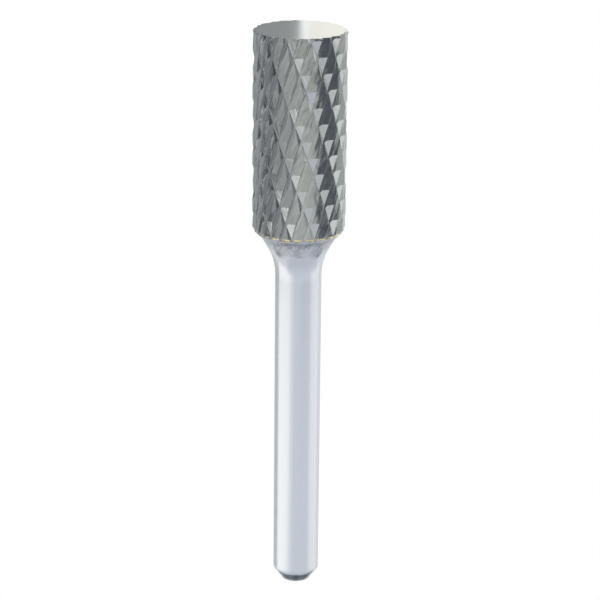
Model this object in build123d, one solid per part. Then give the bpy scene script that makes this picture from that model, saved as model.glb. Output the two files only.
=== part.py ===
from build123d import *
import math
import os

# Carbide rotary burr, cylindrical, double cut, for a die grinder or flexible shaft.
# It stands on the flat end of its head: the end face is at z = 0, the axis is +Z,
# and the shank rises to the top. All sizes are in millimetres.

# ---- driving sizes -------------------------------------------------------
head_d = 12.0            # cutting diameter over the tooth tips
head_len = 25.8          # length of the sintered carbide cutter
overall_len = 75.0       # end face to the tip of the shank
shank_d = 6.0            # ground shank, to suit a 6 mm collet
braze_t = 0.2            # film of braze between carbide and steel

flutes = 24              # right-hand main flutes round the head
flute_helix = 18.55      # degrees, right hand
flute_depth = 0.42       # tooth tip to gullet
relief_depth = 0.27      # tooth tip to the foot of its relief
relief_share = 0.58      # share of one flute pitch taken by the relief
land_share = 0.89        # share of one flute pitch taken by the whole of the tooth's back
flute_phase = 2.9        # angle of a tooth tip at the end face, degrees

breakers = 12            # left-hand chip breakers round the head
breaker_helix = 21.93    # degrees, left hand
breaker_depth = 0.35     # tooth tip to the floor of a breaker
breaker_share = 0.41     # share of one breaker pitch taken by its long wall
breaker_back = 0.17      # share of the pitch taken by its shorter wall
breaker_phase = 6.0      # angle of a breaker's upper edge at the end face, degrees

end_chamfer = 0.15       # broken edge round the end face
rear_chamfer = 0.25      # length of the bevel on the carbide where it meets the braze
rear_drop = 0.10         # taken off the radius by that bevel
rim_inset = 0.20         # steel rim below the tooth tips
rim_cone = 1.0           # height of the 45 degree cone under the rim
throat_d = 7.30          # diameter where the neck's curve starts
neck_cone = 2.0          # height of the second, steeper cone
neck_curve = 3.2         # height of the curve that runs into the shank

tip_chamfer_r = 1.05     # shank tip: taken off the radius
tip_chamfer_h = 1.5      # shank tip: taken off the length

# ---- fits and sizes that follow ------------------------------------------
head_r = head_d / 2
shank_r = shank_d / 2
steel_z = head_len + braze_t
rim_r = head_r - rim_inset
flute_pitch = 360 / flutes
breaker_pitch = 360 / breakers
flute_turn = math.degrees(math.tan(math.radians(flute_helix)) / head_r)
breaker_turn = math.degrees(math.tan(math.radians(breaker_helix)) / head_r)
long_slope = breaker_depth / (breaker_pitch * breaker_share)
back_slope = breaker_depth / (breaker_pitch * breaker_back)
proud = breaker_depth / 5
runout_z = steel_z + rim_cone


def at(radius, degrees_round):
    """A point of a cross-section, from its radius and its angle about the axis."""
    a = math.radians(degrees_round)
    return Vector(radius * math.cos(a), radius * math.sin(a), 0)


def flute_section():
    """Saw-tooth ring: each tip has its relief, falls on to the gullet and rises steeply."""
    points = []
    for i in range(flutes):
        tip = flute_phase + i * flute_pitch
        points.append(at(head_r, tip))
        points.append(at(head_r - relief_depth, tip + flute_pitch * relief_share))
        points.append(at(head_r - flute_depth, tip + flute_pitch * land_share))
    return Wire.make_polygon(points, close=True)


def breaker_section():
    """Ring with the chip breakers: open vees that stay clear of the tips between them."""
    points = []
    for i in range(breakers):
        edge = breaker_phase + i * breaker_pitch
        floor = edge + breaker_pitch * breaker_share
        lip = floor + breaker_pitch * breaker_back
        points.append(at(head_r + proud, edge - proud / long_slope))
        points.append(at(head_r - breaker_depth, floor))
        points.append(at(head_r + proud, lip + proud / back_slope))
    return Wire.make_polygon(points, close=True)


def twisted(section, height, degrees_per_mm):
    """The section pushed along the axis and turned as it goes."""
    return Solid.extrude_linear_with_rotation(
        section, (0, 0, 0), (0, 0, height), height * degrees_per_mm
    )


def turned(profile):
    """Solid of revolution about the axis from (radius, height) points."""
    outline = Polyline(*[(r, 0, z) for r, z in profile], close=True)
    return revolve(make_face(outline), Axis.Z)


def carbide_blank():
    """Ground cylinder with a broken front edge and a bevelled rear edge."""
    front = end_chamfer + proud
    rear = (rear_drop + proud) * rear_chamfer / rear_drop
    return turned(
        [
            (0, 0),
            (head_r - end_chamfer, 0),
            (head_r + proud, front),
            (head_r + proud, head_len - rear),
            (head_r - rear_drop, head_len),
            (0, head_len),
        ]
    )


def braze_film():
    """Thin disc that joins the flat rear face of the carbide to the steel."""
    return turned([(0, head_len), (rim_r, head_len), (rim_r, steel_z), (0, steel_z)])


def steel_rim():
    """The part of the steel that the flutes run out into."""
    low_r = rim_r - rim_cone
    return turned([(0, steel_z), (rim_r, steel_z), (low_r, runout_z), (0, runout_z)])


def steel_body():
    """Second cone, curve into the shank, plain shank and chamfered tip, as one turning."""
    low_r = rim_r - rim_cone
    cone_z = runout_z + neck_cone
    curve_z = cone_z + neck_curve
    throat_r = throat_d / 2
    drop = throat_r - shank_r
    sweep_r = (drop * drop + neck_curve * neck_curve) / (2 * drop)
    half = math.asin(neck_curve / sweep_r) / 2
    mid_r = shank_r + sweep_r * (1 - math.cos(half))
    mid_z = curve_z - sweep_r * math.sin(half)
    tip_r = shank_r - tip_chamfer_r
    outline = [
        Line((0, 0, runout_z), (low_r, 0, runout_z)),
        Line((low_r, 0, runout_z), (throat_r, 0, cone_z)),
        ThreePointArc((throat_r, 0, cone_z), (mid_r, 0, mid_z), (shank_r, 0, curve_z)),
        Line((shank_r, 0, curve_z), (shank_r, 0, overall_len - tip_chamfer_h)),
        Line((shank_r, 0, overall_len - tip_chamfer_h), (tip_r, 0, overall_len)),
        Line((tip_r, 0, overall_len), (0, 0, overall_len)),
        Line((0, 0, overall_len), (0, 0, runout_z)),
    ]
    return revolve(make_face(outline), Axis.Z)


def one_solid(shape):
    """The single solid of a result, whatever it came wrapped in."""
    return shape.solids()[0]


# ---- pieces --------------------------------------------------------------
teeth = twisted(flute_section(), runout_z, flute_turn)
chips = twisted(breaker_section(), runout_z, -breaker_turn)
cutter = one_solid(teeth & chips)

carbide_head = one_solid(carbide_blank() & cutter)
braze_joint = one_solid(braze_film() & cutter)
steel_shank = one_solid((steel_rim() & cutter) + steel_body())

os.makedirs("parts", exist_ok=True)
export_step(carbide_head, "parts/carbide_head.step")
export_step(braze_joint, "parts/braze_joint.step")
export_step(steel_shank, "parts/steel_shank.step")
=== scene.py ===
"""A cylindrical carbide burr standing on the flat end of its head, in a plain pale studio."""
import math

import bmesh
import bpy
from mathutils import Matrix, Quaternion, Vector

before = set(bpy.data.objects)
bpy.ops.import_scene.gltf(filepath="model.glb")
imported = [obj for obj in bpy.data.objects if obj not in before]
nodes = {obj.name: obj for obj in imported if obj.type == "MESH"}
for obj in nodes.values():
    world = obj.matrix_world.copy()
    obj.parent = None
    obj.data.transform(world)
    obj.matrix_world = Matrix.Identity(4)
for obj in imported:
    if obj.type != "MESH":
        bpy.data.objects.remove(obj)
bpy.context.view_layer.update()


# ---- carbide head ---------------------------------------------------------
# The cutter: one sintered tungsten carbide cylinder, ground all over. Its flutes and
# chip breakers are cut by diamond wheels, which leave fine lines along each cut.

head_radius = 0.006
flutes = 24
flute_phase = 2.9  # a tooth's tip at the end face, in degrees round
flute_helix = 18.55  # right hand
breaker_helix = -21.93  # left hand
flute_turn = math.tan(math.radians(flute_helix)) / head_radius
breaker_turn = math.tan(math.radians(breaker_helix)) / head_radius

end_slope = 0.95  # a face that points this much along the axis was cut by the end's wheel
rake_slope = -0.004  # the steep side of a flute: its lean round the axis, times its radius
# the gullet's painted highlight comes in over these shares of a pitch
gullet_start, gullet_full = 0.56, 0.70  # shares of a pitch over which the gullet comes in

back_colours = (0.425, 0.45, 0.455, 1), (0.46, 0.48, 0.48, 1)
# the gullet's colour is a painted highlight, lighter than the backs; the rake's colour is painted
# shade, darker
gullet_highlight_colour = 0.49, 0.515, 0.51, 1
rake_shade_colour = 0.33, 0.35, 0.36, 1
smooth, dull = 0.17, 0.27  # roughness

wheel_lines = 1700
wheel_line_draw = 1, 1, 0.35  # less than one along an axis draws the lines out along it
end_rings = 9000
end_ring_depth = 0.03  # share of the depth of the lines on the teeth
line_depth = 0.00013
honed_radius = 0.00006


def new_material(name):
    """An empty node material and its principled shader."""
    material = bpy.data.materials.new(name)
    material.use_nodes = True
    return material, material.node_tree.nodes["Principled BSDF"]


def dress(node, material):
    """Gives a CAD node its material."""
    piece = nodes[node]
    piece.data.materials.clear()
    piece.data.materials.append(material)


def feed(tree, socket, value):
    """Sets a socket to a plain value, or links it to another node's output."""
    if isinstance(value, bpy.types.NodeSocket):
        tree.links.new(value, socket)
    else:
        socket.default_value = value


def three_of(tree, vector):
    """The x, y and z of a vector."""
    node = tree.nodes.new("ShaderNodeSeparateXYZ")
    tree.links.new(vector, node.inputs["Vector"])
    return node.outputs


def sum_of(tree, operation, *values):
    """A math node fed by sockets or by plain numbers."""
    node = tree.nodes.new("ShaderNodeMath")
    node.operation = operation
    for socket, value in zip(node.inputs, values):
        feed(tree, socket, value)
    return node.outputs["Value"]


def speckle(tree, vector, scale, detail, roughness=0.5):
    """A noise pattern between nought and one."""
    node = tree.nodes.new("ShaderNodeTexNoise")
    node.inputs["Scale"].default_value = scale
    node.inputs["Detail"].default_value = detail
    node.inputs["Roughness"].default_value = roughness
    tree.links.new(vector, node.inputs["Vector"])
    return node.outputs["Fac"]


def stretched(tree, vector, scale):
    """The pattern space drawn out by different amounts along its axes."""
    node = tree.nodes.new("ShaderNodeMapping")
    node.inputs["Scale"].default_value = scale
    tree.links.new(vector, node.inputs["Vector"])
    return node.outputs["Vector"]


def untwisted(tree, place, height, turn):
    """The pattern space turned back about the axis as it rises, so that lines follow a helix."""
    node = tree.nodes.new("ShaderNodeVectorRotate")
    node.rotation_type = "Z_AXIS"
    tree.links.new(place, node.inputs["Vector"])
    tree.links.new(sum_of(tree, "MULTIPLY", height, turn), node.inputs["Angle"])
    return node.outputs["Vector"]


def blend(tree, share, first, second, kind="FLOAT"):
    """Two values mixed by a share: numbers, unless another kind is named."""
    node = tree.nodes.new("ShaderNodeMix")
    node.data_type = kind
    tree.links.new(share, node.inputs["Factor"])
    feed(tree, node.inputs["A"], first)
    feed(tree, node.inputs["B"], second)
    return node.outputs["Result"]


def tint(tree, share, first, second):
    """Two colours mixed by a share."""
    return blend(tree, share, first, second, "RGBA")


def rounded(tree, radius, samples):
    """The surface's direction with its edges blunted, without a change of shape."""
    node = tree.nodes.new("ShaderNodeBevel")
    node.samples = samples
    node.inputs["Radius"].default_value = radius
    return node.outputs["Normal"]


def relief(tree, height, distance, strength, normal):
    """Bump on a surface's direction, from a height between nought and one."""
    node = tree.nodes.new("ShaderNodeBump")
    node.inputs["Strength"].default_value = strength
    node.inputs["Distance"].default_value = distance
    tree.links.new(height, node.inputs["Height"])
    tree.links.new(normal, node.inputs["Normal"])
    return node.outputs["Normal"]


def tooth_share(tree, x, y, z):
    """How far across a flute's pitch a place lies: nought at one tooth's tip, one at the next."""
    round_axis = sum_of(tree, "ARCTAN2", y, x)
    turned_back = sum_of(tree, "MULTIPLY_ADD", z, -flute_turn, round_axis)
    tip = flute_phase / 360 * flutes
    pitches = sum_of(tree, "MULTIPLY_ADD", turned_back, flutes / math.tau, -tip)
    return sum_of(tree, "FRACT", pitches)


def ramp(tree, value, low, high):
    """Rises from nought at one value to one at another, and stays there."""
    node = tree.nodes.new("ShaderNodeMapRange")
    tree.links.new(value, node.inputs["Value"])
    node.inputs["From Min"].default_value = low
    node.inputs["From Max"].default_value = high
    return node.outputs["Result"]


carbide, shader = new_material("ground_carbide")
tree = carbide.node_tree
here = tree.nodes.new("ShaderNodeTexCoord")
place = here.outputs["Object"]
x, y, z = three_of(tree, place)
nx, ny, nz = three_of(tree, here.outputs["Normal"])

# which wheel cut this face: a face holds the direction of the helix that cut it
x_part, y_part = sum_of(tree, "MULTIPLY", x, ny), sum_of(tree, "MULTIPLY", y, nx)
around_face = sum_of(tree, "SUBTRACT", x_part, y_part)
flute_lean = sum_of(tree, "MULTIPLY_ADD", around_face, flute_turn, nz)
breaker_lean = sum_of(tree, "MULTIPLY_ADD", around_face, breaker_turn, nz)
off_flute = sum_of(tree, "ABSOLUTE", flute_lean)
off_breaker = sum_of(tree, "ABSOLUTE", breaker_lean)
breaker_cut = sum_of(tree, "GREATER_THAN", off_flute, off_breaker)
end_cut = sum_of(tree, "GREATER_THAN", sum_of(tree, "ABSOLUTE", nz), end_slope)

# the lines that each wheel leaves, and the faint rings on the end face
along_flutes = stretched(tree, untwisted(tree, place, z, -flute_turn), wheel_line_draw)
along_breakers = stretched(tree, untwisted(tree, place, z, -breaker_turn), wheel_line_draw)
flute_lines = speckle(tree, along_flutes, wheel_lines, detail=1, roughness=0.4)
breaker_lines = speckle(tree, along_breakers, wheel_lines, detail=1, roughness=0.4)
x_squared, y_squared = sum_of(tree, "MULTIPLY", x, x), sum_of(tree, "MULTIPLY", y, y)
radius = sum_of(tree, "SQRT", sum_of(tree, "ADD", x_squared, y_squared))
rings = tree.nodes.new("ShaderNodeCombineXYZ")
tree.links.new(radius, rings.inputs["X"])
end_lines = speckle(tree, rings.outputs["Vector"], end_rings, detail=3, roughness=0.6)
faint = sum_of(tree, "MULTIPLY", end_lines, end_ring_depth)
lines = blend(tree, end_cut, blend(tree, breaker_cut, flute_lines, breaker_lines), faint)

# painted highlight and painted shade: the gullet of a flute is painted lighter, for the light it
# reflects, and the rake above it is painted darker, for its shade
patches = speckle(tree, place, scale=900, detail=3)
pitch_share = tooth_share(tree, x, y, z)
own_face = sum_of(tree, "SUBTRACT", 1, sum_of(tree, "MAXIMUM", breaker_cut, end_cut))
past_back = ramp(tree, pitch_share, gullet_start, gullet_full)
painted_gullet_share = sum_of(tree, "MULTIPLY", past_back, own_face)
on_rake = sum_of(tree, "LESS_THAN", around_face, rake_slope)
backs = tint(tree, patches, *back_colours)
colour = tint(tree, on_rake, tint(tree, painted_gullet_share, backs, gullet_highlight_colour), rake_shade_colour)
tree.links.new(colour, shader.inputs["Base Color"])
shader.inputs["Metallic"].default_value = 1
roughness = blend(tree, end_cut, blend(tree, patches, smooth, dull), smooth)
tree.links.new(roughness, shader.inputs["Roughness"])

# the tips and edges are honed a little, which blunts them
honed = rounded(tree, honed_radius, samples=6)
lined = relief(tree, lines, line_depth, strength=0.6, normal=honed)
tree.links.new(lined, shader.inputs["Normal"])
dress("carbide_head", carbide)


# ---- braze joint ----------------------------------------------------------
# A film of yellow braze that wets the flat rear of the carbide and the steel. The
# flutes are ground through it, so only short dashes of it show on the lands.

wetted_colours = (0.74, 0.60, 0.24, 1), (0.82, 0.72, 0.40, 1)
ground_colour = 0.56, 0.57, 0.58, 1
thin_start, thin_full = 0.58, 0.70  # shares of a flute's pitch over which it thins to nothing
patch_middle = 0.5
patch_pull = 0.5  # how far the patches move that edge, as a share of the pitch

braze, shader = new_material("yellow_braze")
tree = braze.node_tree
place = tree.nodes.new("ShaderNodeTexCoord").outputs["Object"]
pitch_share = tooth_share(tree, *three_of(tree, place))
patches = speckle(tree, place, scale=2500, detail=3)
unevenness = sum_of(tree, "SUBTRACT", patches, patch_middle)
thin = sum_of(tree, "MULTIPLY_ADD", unevenness, patch_pull, pitch_share)
wetted = tint(tree, patches, *wetted_colours)
colour = tint(tree, ramp(tree, thin, thin_start, thin_full), wetted, ground_colour)
tree.links.new(colour, shader.inputs["Base Color"])
shader.inputs["Metallic"].default_value = 1
shader.inputs["Roughness"].default_value = 0.32
dress("braze_joint", braze)


# ---- steel shank ----------------------------------------------------------
# One piece of tool steel, turned to the neck's cones and curve, then ground on the
# shank, with a chamfered tip.

steel_colours = (0.55, 0.58, 0.63, 1), (0.60, 0.63, 0.675, 1)
runout_colour = 0.47, 0.485, 0.505, 1
runout_start, runout_end = 0.0266, 0.0290  # heights from the first cone to the second's end
mark_start, mark_full = 0.42, 0.58
bright, satin, worn_out = 0.18, 0.28, 0.42  # roughness of the shank, and of the run-out
ring_draw = 0.06, 0.06, 1
runout_draw = 1, 1, 0.12
ring_depth = 0.00001
runout_depth = 0.00008
edge_blend = 0.0008

steel, shader = new_material("ground_steel")
tree = steel.node_tree
place = tree.nodes.new("ShaderNodeTexCoord").outputs["Object"]
x, y, z = three_of(tree, place)
round_shank = stretched(tree, place, ring_draw)
ground_rings = speckle(tree, round_shank, scale=9000, detail=4, roughness=0.65)
patches = speckle(tree, place, scale=700, detail=3)

# the flutes' wheel runs out over the neck's two cones: its dull marks fade along the second
on_runout = sum_of(tree, "SUBTRACT", 1, ramp(tree, z, runout_start, runout_end))
along_flutes = stretched(tree, untwisted(tree, place, z, -flute_turn), runout_draw)
runout_lines = speckle(tree, along_flutes, scale=1500, detail=3, roughness=0.6)
marks = ramp(tree, runout_lines, mark_start, mark_full)
worn = sum_of(tree, "MULTIPLY", on_runout, marks)
colour = tint(tree, worn, tint(tree, patches, *steel_colours), runout_colour)
tree.links.new(colour, shader.inputs["Base Color"])
shader.inputs["Metallic"].default_value = 1
roughness = blend(tree, on_runout, blend(tree, patches, bright, satin), worn_out)
tree.links.new(roughness, shader.inputs["Roughness"])

# fine turned rings all over, soft edges between the cones, and the marks on top
soft_edges = rounded(tree, edge_blend, samples=8)
turned = relief(tree, ground_rings, ring_depth, strength=0.35, normal=soft_edges)
marked = relief(tree, worn, runout_depth, strength=0.6, normal=turned)
tree.links.new(marked, shader.inputs["Normal"])
dress("steel_shank", steel)


# ---- studio ---------------------------------------------------------------
# A pale floor under the head, seen from above only, so that the end face shows from
# below. White surroundings, a soft lamp overhead, and the cards that ground metal shows.

floor_reach = 1.5
floor_drop = 0.0001
floor_colour = 0.82, 0.82, 0.82, 1

floor_mesh = bpy.data.meshes.new("floor")
sheet = bmesh.new()
bmesh.ops.create_grid(sheet, x_segments=1, y_segments=1, size=floor_reach)
bmesh.ops.translate(sheet, vec=(0, 0, -floor_drop), verts=sheet.verts)
sheet.to_mesh(floor_mesh)
sheet.free()
floor = bpy.data.objects.new("floor", floor_mesh)
bpy.context.scene.collection.objects.link(floor)
floor.visible_diffuse = False
floor.visible_glossy = False
floor.visible_shadow = False

pale, shader = new_material("pale_floor")
tree = pale.node_tree
shader.inputs["Base Color"].default_value = floor_colour
shader.inputs["Roughness"].default_value = 0.9
below = tree.nodes.new("ShaderNodeNewGeometry")
clear = tree.nodes.new("ShaderNodeBsdfTransparent")
one_way = tree.nodes.new("ShaderNodeMixShader")
tree.links.new(below.outputs["Backfacing"], one_way.inputs["Fac"])
tree.links.new(shader.outputs["BSDF"], one_way.inputs[1])
tree.links.new(clear.outputs["BSDF"], one_way.inputs[2])
tree.links.new(one_way.outputs["Shader"], tree.nodes["Material Output"].inputs["Surface"])
floor_mesh.materials.append(pale)

burr_middle = Vector((0, 0, 0.03))
lamp_at = Vector((0, 0, 1.2))
lamp_side = 1.0
lamp_glow = 1.9

lamp = bpy.data.lights.new("overhead", "AREA")
lamp.shape = "RECTANGLE"
lamp.size = lamp.size_y = lamp_side
lamp.energy = lamp_glow * math.pi * lamp_side * lamp_side
overhead = bpy.data.objects.new("overhead", lamp)
overhead.location = lamp_at
overhead.rotation_euler = (burr_middle - lamp_at).to_track_quat("-Z", "Y").to_euler()
overhead.visible_camera = False
overhead.visible_glossy = False
bpy.context.scene.collection.objects.link(overhead)

card_steps = 24  # flats in a card's curve


def bearing(turn, distance):
    """How far across and back a place is, at a bearing in degrees from the camera's side."""
    turn = math.radians(turn)
    return -distance * math.sin(turn), -distance * math.cos(turn)


def studio_card(name, start, end, low, high, colour, distance, top_distance=None):
    """A curved card that only metal shows, leaning in where its top is the nearer edge."""
    mesh = bpy.data.meshes.new(name)
    sheet = bmesh.new()
    foot, top = bearing(start, distance), bearing(start, top_distance or distance)
    ends = [sheet.verts.new((*foot, low)), sheet.verts.new((*top, high))]
    bmesh.ops.spin(
        sheet,
        geom=[*ends, sheet.edges.new(ends)],
        cent=(0, 0, 0),
        axis=(0, 0, 1),
        angle=math.radians(start - end),
        steps=card_steps,
    )
    sheet.to_mesh(mesh)
    sheet.free()
    card = bpy.data.objects.new(name, mesh)
    bpy.context.scene.collection.objects.link(card)
    card.visible_camera = False
    card.visible_diffuse = False
    card.visible_shadow = False
    glow, shader = new_material(name)
    shader.inputs["Base Color"].default_value = (0, 0, 0, 1)
    shader.inputs["Specular IOR Level"].default_value = 0
    shader.inputs["Emission Color"].default_value = (*colour, 1)
    shader.inputs["Emission Strength"].default_value = 1
    glow.cycles.emission_sampling = "NONE"
    mesh.materials.append(glow)


far, behind_middling, middling = 0.6, 0.51, 0.5  # from the axis of the burr
near, strip_at, end_strip_at = 0.06, 0.059, 0.058
strip_half = 3  # degrees
strips = (-157, 1.4), (-136, 1.35), (-114, 1.0), (-93, 1.0)  # middle and glow

# Each card has its name, first and last bearing, low and high edge, colour, distance
# and, where it leans in, the distance of its top.

# light boxes and cards all round, for the bands along the shank and the shine of the neck
studio_card("left_box", -112, -40, 0.19, 0.50, (1.56, 1.52, 1.45), far)
studio_card("left_box_edge", -40, -24, 0.19, 0.50, (1.20, 1.20, 1.19), far)
studio_card("right_box", 66, 122, 0.19, 0.50, (1.30, 1.29, 1.27), far)
studio_card("front_high_card", -18, 40, 0.19, 0.38, (0.96, 0.99, 1.03), far)
studio_card("back_card", 158, 248, 0.19, 0.38, (0.70, 0.72, 0.74), far)
studio_card("front_top_card", -60, 110, 0.39, 0.60, (0.86, 0.885, 0.92), far)
studio_card("front_upper_card", -60, 110, 0.60, 1.50, (0.78, 0.805, 0.84), far)

# cards level with the head and below it, for the front and the right of the teeth
studio_card("right_card", 11, 76, -0.04, 0.14, (0.095, 0.11, 0.135), middling)
studio_card("right_side_card", 76, 118, -0.02, 0.14, (0.62, 0.62, 0.60), middling)
studio_card("front_card", -76, 11, -0.015, 0.14, (0.78, 0.79, 0.75), middling)
studio_card("low_card", -76, 20, -0.40, -0.015, (0.09, 0.095, 0.105), behind_middling)
studio_card("low_right_card", 20, 84, -0.40, -0.04, (0.50, 0.51, 0.53), behind_middling)

# cards close by on the left, mostly dark, and light strips before them that sparkle
studio_card("left_card", -166, -98, -0.06, 0.047, (0.12, 0.125, 0.13), near)
studio_card("left_middle_card", -98, -84, -0.06, 0.047, (0.24, 0.245, 0.245), near)
studio_card("left_front_card", -84, -70, -0.06, 0.047, (0.60, 0.61, 0.60), near)
for turn, glow in strips:
    sides = turn - strip_half, turn + strip_half
    studio_card("left_strip", *sides, -0.015, 0.034, (glow, glow, glow), strip_at)
studio_card("near_card", -70, -42, 0.012, 0.047, (0.60, 0.61, 0.61), near)

# a warm box low at the back, a grey card and a thin light between them, for the end face
studio_card("low_box", 84, 180, -0.36, 0.0, (1.42, 1.38, 1.26), middling)
studio_card("end_card", -180, -166, -0.06, 0.047, (0.40, 0.42, 0.43), near)
studio_card("end_strip", 179.2, 179.85, -0.024, -0.002, (1.70, 1.74, 1.77), end_strip_at)

# cards overhead, for the neck and for the chamfer at the tip
studio_card("ceiling_card", -112, 112, 0.80, 0.90, (0.66, 0.69, 0.73), 0.25, 0.12)
studio_card("ceiling_middle_card", -112, 112, 0.90, 0.99, (0.10, 0.115, 0.125), 0.12, 0.01)
studio_card("back_ceiling_card", 112, 248, 0.67, 1.00, (0.06, 0.075, 0.085), far, 0.01)
studio_card("back_upper_card", 150, 210, 0.66, 0.84, (0.95, 0.97, 1.00), far, 0.28)

# grey light from all round, which shows as plain white in metal and behind the burr
surround_grey = 0.5, 0.5, 0.5, 1
surround_white = 1, 1, 1, 1

world = bpy.data.worlds.new("studio")
bpy.context.scene.world = world
world.use_nodes = True
sky = world.node_tree
background = sky.nodes["Background"]
background.inputs["Color"].default_value = surround_grey
white = sky.nodes.new("ShaderNodeBackground")
white.inputs["Color"].default_value = surround_white
ray = sky.nodes.new("ShaderNodeLightPath")
seen = sum_of(sky, "MAXIMUM", ray.outputs["Is Camera Ray"], ray.outputs["Is Glossy Ray"])
shown = sum_of(sky, "MAXIMUM", seen, ray.outputs["Is Transmission Ray"])
either = sky.nodes.new("ShaderNodeMixShader")
sky.links.new(shown, either.inputs["Fac"])
sky.links.new(background.outputs["Background"], either.inputs[1])
sky.links.new(white.outputs["Background"], either.inputs[2])
sky.links.new(either.outputs["Shader"], sky.nodes["World Output"].inputs["Surface"])


# ---- camera ---------------------------------------------------------------
# Below the level of the head and turned over, so that the head is at the top of the
# picture and its end face shows.

camera_at = Vector((0, -0.27965, -0.05823))
look_at = Vector((-0.00025, 0, 0.03569))
lean = 0.554

camera_data = bpy.data.cameras.new("camera")
camera_data.sensor_width = 36
camera_data.lens = 136.07
camera_data.clip_start = 0.01
camera_data.clip_end = 20
camera = bpy.data.objects.new("camera", camera_data)
camera.location = camera_at
upright = (look_at - camera_at).to_track_quat("-Z", "Y")
camera.rotation_mode = "QUATERNION"
camera.rotation_quaternion = upright @ Quaternion((0, 0, 1), math.radians(180 + lean))
bpy.context.scene.collection.objects.link(camera)
bpy.context.scene.camera = camera

bpy.context.scene.view_settings.view_transform = "Standard"
